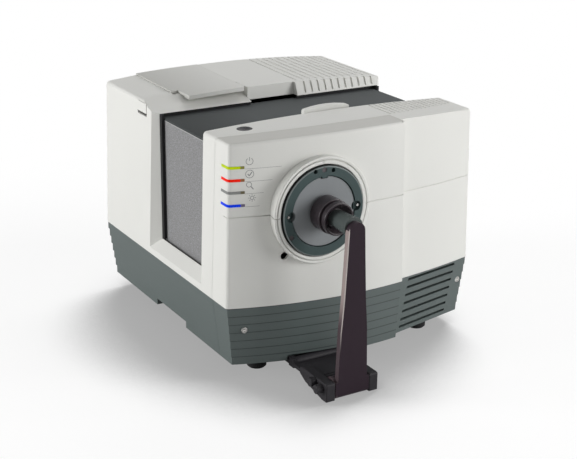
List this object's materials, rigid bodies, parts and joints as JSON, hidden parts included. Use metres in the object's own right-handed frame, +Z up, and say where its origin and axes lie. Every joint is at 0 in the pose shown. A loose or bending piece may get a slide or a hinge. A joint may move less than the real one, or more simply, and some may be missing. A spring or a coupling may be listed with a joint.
{
  "type": "benchtop sphere colorimeter",
  "caption": "Bench sphere colorimeter: white housing on a dark banded base, round sample port with sprung clamp arm, sliding compartment cover and hinged service lid.",
  "frame": {"origin": "under the middle of the instrument's overall footprint, on the bench", "axes": "+X to the instrument's right seen from the front, +Y to its rear, +Z up"},
  "size_m": [0.38, 0.492, 0.3279],
  "materials": {
    "white_shell": "fine satin",
    "base_plastic": "textured matte",
    "cover_plastic": "satin",
    "cover_panel": "speckled matte",
    "rubber": "matte",
    "pad": "matte",
    "clamp_paint": "dark anodised",
    "clamp_steel": "satin",
    "pin_steel": "brushed",
    "screw_steel": "bright",
    "port_green": "satin",
    "port_grey": "matte anodised",
    "light_pipe_green": "translucent",
    "light_pipe_red": "translucent",
    "light_pipe_grey": "translucent",
    "light_pipe_blue": "translucent",
    "button_plastic": "satin",
    "inner_plastic": "matte",
    "sheet_steel": "plain",
    "sphere_white": "matte",
    "board": "lacquered",
    "glass": "clear"
  },
  "bodies": {
    "frame": {"base_front": "base_plastic", "base_screws": "screw_steel", "base_tray": "base_plastic", "chassis_deck": "sheet_steel", "clamp_bracket": "clamp_steel", "clamp_cross_rod": "clamp_steel", "clamp_pivot_pin": "pin_steel", "clamp_stop_pin": "pin_steel", "compartment_floor": "inner_plastic", "cooling_fan": "inner_plastic", "data_ports": "sheet_steel", "detector_board": "board", "feet": "rubber", "flash_lamp": "glass", "foot_screws": "screw_steel", "front_bezel": "white_shell", "front_bulkhead": "inner_plastic", "indicator_board": "board", "lamp_housing": "sheet_steel", "lens_tube": "inner_plastic", "lid_hinge_pin": "pin_steel", "light_bar_lamp": "light_pipe_blue", "light_bar_measure": "light_pipe_grey", "light_bar_power": "light_pipe_green", "light_bar_ready": "light_pipe_red", "main_board": "board", "main_cover": "white_shell", "mouth_seal_left": "rubber", "mouth_seal_right": "rubber", "port_pins": "screw_steel", "port_plate": "port_grey", "port_ring": "port_green", "port_screws": "screw_steel", "power_inlet": "inner_plastic", "power_supply": "sheet_steel", "read_switch": "inner_plastic", "rear_bulkhead": "inner_plastic", "rear_panel": "sheet_steel", "rear_panel_screws": "screw_steel", "side_latch": "white_shell", "slide_rails": "sheet_steel", "spectrograph_box": "sheet_steel", "spectrograph_cover": "sheet_steel", "sphere_front": "sphere_white", "sphere_rear": "sphere_white", "sphere_stand": "sheet_steel", "storage_tray": "inner_plastic", "viewing_lens": "glass"},
    "cover": {"cover_top": "cover_plastic", "cover_side_left": "cover_panel", "cover_side_right": "cover_panel", "cover_handle": "white_shell"},
    "lid": {"service_lid": "white_shell"},
    "clamp": {"clamp_arm": "clamp_paint", "clamp_shaft": "pin_steel", "clamp_pad": "pad"},
    "button": {"read_button": "button_plastic"},
    "rocker": {"power_rocker": "inner_plastic"},
    "rotor": {"fan_rotor": "inner_plastic"}
  },
  "joints": [
    {"name": "cover_slide", "type": "slide", "parent": "frame", "child": "cover", "axis": [0, 1, 0], "range_m": [0, 0.139]},
    {"name": "lid_hinge", "type": "hinge", "parent": "frame", "child": "lid", "pos_m": [-0.0875, 0.235, 0.31623], "axis": [-1, 0, 0], "range_deg": [0, 85]},
    {"name": "clamp_hinge", "type": "hinge", "parent": "frame", "child": "clamp", "pos_m": [-0.0705, -0.234, 0.0177], "axis": [1, 0, 0], "range_deg": [0, 80], "stiffness_Nm_per_rad": 0.8, "springref_deg": -28.65},
    {"name": "read_press", "type": "slide", "parent": "frame", "child": "button", "axis": [0, 0, -1], "range_m": [0, 0.0018], "stiffness_N_per_m": 400, "springref_m": -0.001},
    {"name": "rocker_tilt", "type": "hinge", "parent": "frame", "child": "rocker", "pos_m": [0.004, 0.2382, 0.16], "axis": [1, 0, 0], "range_deg": [-6, 6]},
    {"name": "fan_spin", "type": "hinge", "parent": "frame", "child": "rotor", "pos_m": [0.1, 0.2255, 0.222], "axis": [0, 1, 0], "continuous": true}
  ]
}
